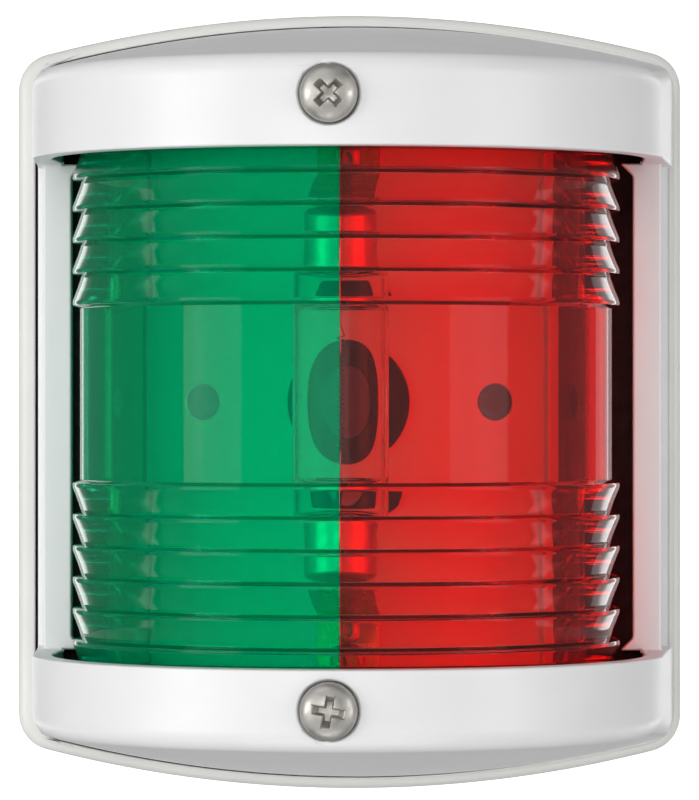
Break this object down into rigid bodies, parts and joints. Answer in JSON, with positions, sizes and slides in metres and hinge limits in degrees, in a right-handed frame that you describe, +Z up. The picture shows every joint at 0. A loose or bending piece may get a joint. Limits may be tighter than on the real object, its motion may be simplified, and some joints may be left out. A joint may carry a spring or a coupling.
{
  "type": "navigation light",
  "caption": "Wall-mounted two-colour boat sidelight: hooded white cover over green and red ribbed half lenses, festoon lamp in forked contacts.",
  "frame": {"origin": "centre of the flat rear face of the base plate, where the light meets the wall or coaming", "axes": "+Z up, -Y the way the light shines, +X to the right of someone looking at its front, so the red lens is on +X and the green lens on -X"},
  "size_m": [0.066, 0.0509, 0.077],
  "materials": {
    "base_plastic": "satin moulded white ABS, slightly warm",
    "cover_plastic": "semi-gloss moulded white ABS",
    "black_rubber": "matt black EPDM rubber",
    "green_lens": "clear green polycarbonate",
    "red_lens": "clear red polycarbonate",
    "stainless": "satin stainless steel",
    "nickel": "nickel-plated brass",
    "brass": "phosphor bronze and brass",
    "lamp_glass": "clear lamp glass",
    "filament": "drawn tungsten wire"
  },
  "bodies": {
    "base": {"base_plate": "base_plastic", "cable_grommet": "black_rubber", "rim_seal": "black_rubber", "contact_clip_top": "brass", "clip_rivet_top": "nickel", "contact_clip_bottom": "brass", "clip_rivet_bottom": "nickel"},
    "cover": {"front_cover": "cover_plastic", "starboard_lens": "green_lens", "port_lens": "red_lens", "lens_gasket": "black_rubber"},
    "lamp": {"lamp_glass": "lamp_glass", "lamp_filament": "filament", "lamp_cap_top": "nickel", "lamp_cap_bottom": "nickel"},
    "cover_screw_travel_top": {"screw_seal_top": "black_rubber"},
    "cover_screw_top": {"cover_screw_top": "stainless"},
    "wire_clamp_top": {"wire_clamp_top": "nickel"},
    "terminal_screw_top": {"terminal_screw_top": "brass"},
    "cover_screw_travel_bottom": {"screw_seal_bottom": "black_rubber"},
    "cover_screw_bottom": {"cover_screw_bottom": "stainless"},
    "wire_clamp_bottom": {"wire_clamp_bottom": "nickel"},
    "terminal_screw_bottom": {"terminal_screw_bottom": "brass"}
  },
  "joints": [
    {"name": "cover_lift_off", "type": "slide", "parent": "base", "child": "cover", "axis": [0, -1, 0], "range_m": [0, 0.06]},
    {"name": "lamp_pull_out", "type": "slide", "parent": "base", "child": "lamp", "axis": [0, -1, 0], "range_m": [0, 0.014]},
    {"name": "cover_screw_top_travel", "type": "slide", "parent": "cover", "child": "cover_screw_travel_top", "axis": [0, -1, 0], "range_m": [0, 0.0159]},
    {"name": "cover_screw_top_turn", "type": "hinge", "parent": "cover_screw_travel_top", "child": "cover_screw_top", "pos_m": [0, -0.05, 0.028], "axis": [0, -1, 0], "range_deg": [0, 5400]},
    {"name": "wire_clamp_top_travel", "type": "slide", "parent": "base", "child": "wire_clamp_top", "axis": [0, -1, 0], "range_m": [0, 0.0018]},
    {"name": "terminal_screw_top_turn", "type": "hinge", "parent": "wire_clamp_top", "child": "terminal_screw_top", "pos_m": [0, -0.004, 0.02097], "axis": [0, -1, 0], "range_deg": [0, 1296]},
    {"name": "cover_screw_bottom_travel", "type": "slide", "parent": "cover", "child": "cover_screw_travel_bottom", "axis": [0, -1, 0], "range_m": [0, 0.0159]},
    {"name": "cover_screw_bottom_turn", "type": "hinge", "parent": "cover_screw_travel_bottom", "child": "cover_screw_bottom", "pos_m": [0, -0.05, -0.028], "axis": [0, -1, 0], "range_deg": [0, 5400]},
    {"name": "wire_clamp_bottom_travel", "type": "slide", "parent": "base", "child": "wire_clamp_bottom", "axis": [0, -1, 0], "range_m": [0, 0.0018]},
    {"name": "terminal_screw_bottom_turn", "type": "hinge", "parent": "wire_clamp_bottom", "child": "terminal_screw_bottom", "pos_m": [0, -0.004, -0.01943], "axis": [0, -1, 0], "range_deg": [0, 1296]}
  ],
  "couplings": [
    {"joint": "cover_screw_top_turn", "follows": "cover_screw_top_travel", "rad_per_m": 5927.5},
    {"joint": "terminal_screw_top_turn", "follows": "wire_clamp_top_travel", "rad_per_m": 12566},
    {"joint": "cover_screw_bottom_turn", "follows": "cover_screw_bottom_travel", "rad_per_m": 5927.5},
    {"joint": "terminal_screw_bottom_turn", "follows": "wire_clamp_bottom_travel", "rad_per_m": 12566}
  ]
}
